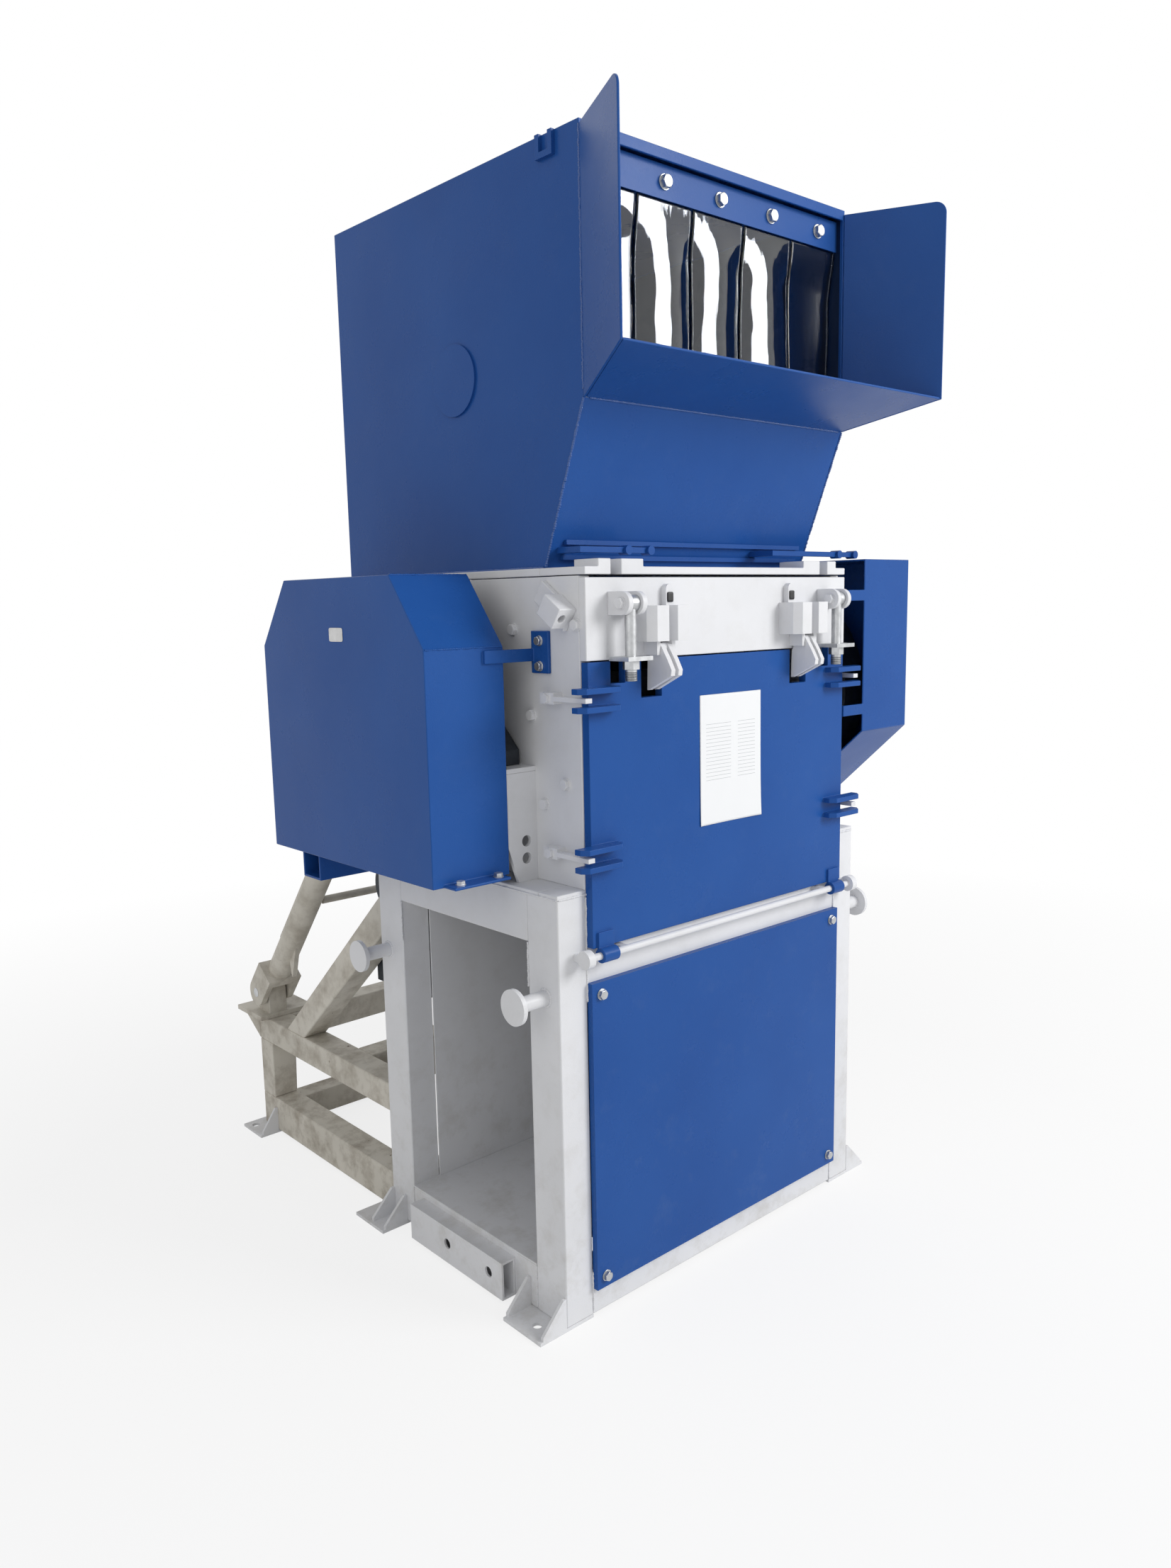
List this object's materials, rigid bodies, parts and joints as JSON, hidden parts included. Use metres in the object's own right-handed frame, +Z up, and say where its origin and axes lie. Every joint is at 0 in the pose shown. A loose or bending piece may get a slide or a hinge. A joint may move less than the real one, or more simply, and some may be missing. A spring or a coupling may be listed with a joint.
{
  "type": "plastic granulator",
  "caption": "Floor-standing plastic granulator with a tilting curtained feed hopper, a fold-down screen door, belt and flywheel guards, a bin bay and rear tilting cylinders.",
  "frame": {"origin": "on the floor, at the centre of the pedestal's four anchor holes", "axes": "+X to the machine's right seen from the feed side, +Y to the rear frame, +Z up"},
  "size_m": [1.436, 1.7452, 2.486],
  "materials": {
    "blue_paint": "semi-gloss blue",
    "ivory_paint": "semi-gloss off-white",
    "worn_paint": "worn off-white with rust",
    "plain_steel": "zinc plated or machined",
    "rod_chrome": "ground and plated",
    "dark_iron": "dark painted",
    "belt_rubber": "matte",
    "bar_paint": "semi-gloss blue",
    "clear_strip": "clear"
  },
  "bodies": {
    "root": {"anchor_feet": "ivory_paint", "pedestal_posts": "ivory_paint", "pedestal_rails": "ivory_paint", "pedestal_top": "ivory_paint", "bin_lining": "ivory_paint", "front_panel": "blue_paint", "panel_bolts": "plain_steel", "bin_guides": "ivory_paint", "lifting_bollards": "ivory_paint", "rear_rails": "worn_paint", "rear_struts": "worn_paint", "clevis_brackets": "worn_paint", "hinge_pins": "plain_steel", "chamber_side_left": "ivory_paint", "chamber_side_right": "ivory_paint", "chamber_front": "ivory_paint", "chamber_rear": "ivory_paint", "bed_knives": "plain_steel", "screen": "plain_steel", "screen_cradle": "ivory_paint", "bearing_stands": "ivory_paint", "bearing_housings": "dark_iron", "belt_guard": "blue_paint", "flywheel_guard": "blue_paint", "drive_belts": "belt_rubber", "main_motor": "dark_iron", "motor_platform": "blue_paint", "hydraulic_unit": "dark_iron", "clamp_bodies": "ivory_paint", "swing_ears": "ivory_paint", "door_rod": "ivory_paint", "door_tongues": "ivory_paint", "side_knuckle": "ivory_paint", "hinge_brackets": "ivory_paint"},
    "hopper": {"hopper_shell": "blue_paint", "hopper_flange": "ivory_paint", "feed_wings": "blue_paint", "feed_lip": "blue_paint", "hopper_arms": "blue_paint", "hopper_eyes": "ivory_paint", "strip_bar": "bar_paint", "hopper_trim": "blue_paint"},
    "rotor": {"rotor_shaft": "plain_steel", "rotor_body": "dark_iron", "rotor_knives": "plain_steel", "driven_pulley": "dark_iron", "flywheel": "dark_iron"},
    "motor_rotor": {"motor_pulley": "dark_iron"},
    "barrels": {"cylinder_barrels": "worn_paint"},
    "rods": {"cylinder_rods": "rod_chrome"},
    "door": {"screen_door": "blue_paint"},
    "bolt_left": {"swing_bolt_left": "plain_steel"},
    "bolt_right": {"swing_bolt_right": "plain_steel"},
    "hook_left": {"door_hook_left": "ivory_paint"},
    "hook_right": {"door_hook_right": "ivory_paint"},
    "strip_1": {"curtain_strip_1": "clear_strip"},
    "strip_2": {"curtain_strip_2": "clear_strip"},
    "strip_3": {"curtain_strip_3": "clear_strip"},
    "strip_4": {"curtain_strip_4": "clear_strip"},
    "strip_5": {"curtain_strip_5": "clear_strip"}
  },
  "joints": [
    {"name": "hopper_tilt", "type": "hinge", "parent": "root", "child": "hopper", "pos_m": [0, 0.55, 1.64], "axis": [-1, 0, 0], "range_deg": [0, 75]},
    {"name": "barrel_swing", "type": "hinge", "parent": "root", "child": "barrels", "pos_m": [0, 1.026, 0.432], "axis": [-1, 0, 0], "range_deg": [0, 9.6]},
    {"name": "rod_slide", "type": "slide", "parent": "barrels", "child": "rods", "axis": [0, -0.6335, 0.7737], "range_m": [0, 0.43]},
    {"name": "rotor_spin", "type": "hinge", "parent": "root", "child": "rotor", "pos_m": [0, -0.035, 1.33], "axis": [1, 0, 0], "continuous": true},
    {"name": "motor_spin", "type": "hinge", "parent": "root", "child": "motor_rotor", "pos_m": [0, 0.355, 1.135], "axis": [1, 0, 0], "continuous": true},
    {"name": "door_swing", "type": "hinge", "parent": "root", "child": "door", "pos_m": [0, -0.41, 0.84], "axis": [1, 0, 0], "range_deg": [0, 95]},
    {"name": "bolt_swing_left", "type": "hinge", "parent": "root", "child": "bolt_left", "pos_m": [-0.35, -0.44, 1.574], "axis": [-1, 0, 0], "range_deg": [0, 165]},
    {"name": "bolt_swing_right", "type": "hinge", "parent": "root", "child": "bolt_right", "pos_m": [0.35, -0.44, 1.574], "axis": [-1, 0, 0], "range_deg": [0, 165]},
    {"name": "hook_swing_left", "type": "hinge", "parent": "root", "child": "hook_left", "pos_m": [-0.245, -0.426, 1.478], "axis": [-1, 0, 0], "range_deg": [0, 55]},
    {"name": "hook_swing_right", "type": "hinge", "parent": "root", "child": "hook_right", "pos_m": [0.245, -0.426, 1.478], "axis": [-1, 0, 0], "range_deg": [0, 55]},
    {"name": "strip_swing_1", "type": "hinge", "parent": "hopper", "child": "strip_1", "pos_m": [-0.3336, -0.37, 2.3931], "axis": [1, 0, 0], "range_deg": [0, 60]},
    {"name": "strip_swing_2", "type": "hinge", "parent": "hopper", "child": "strip_2", "pos_m": [-0.1668, -0.37, 2.3931], "axis": [1, 0, 0], "range_deg": [0, 60]},
    {"name": "strip_swing_3", "type": "hinge", "parent": "hopper", "child": "strip_3", "pos_m": [0, -0.37, 2.3931], "axis": [1, 0, 0], "range_deg": [0, 60]},
    {"name": "strip_swing_4", "type": "hinge", "parent": "hopper", "child": "strip_4", "pos_m": [0.1668, -0.37, 2.3931], "axis": [1, 0, 0], "range_deg": [0, 60]},
    {"name": "strip_swing_5", "type": "hinge", "parent": "hopper", "child": "strip_5", "pos_m": [0.3336, -0.37, 2.3931], "axis": [1, 0, 0], "range_deg": [0, 60]}
  ],
  "couplings": [
    {"joint": "barrel_swing", "follows": "hopper_tilt", "ratio": 0.12584},
    {"joint": "rod_slide", "follows": "hopper_tilt", "m_per_rad": 0.32522},
    {"joint": "motor_spin", "follows": "rotor_spin", "ratio": 2.5}
  ]
}
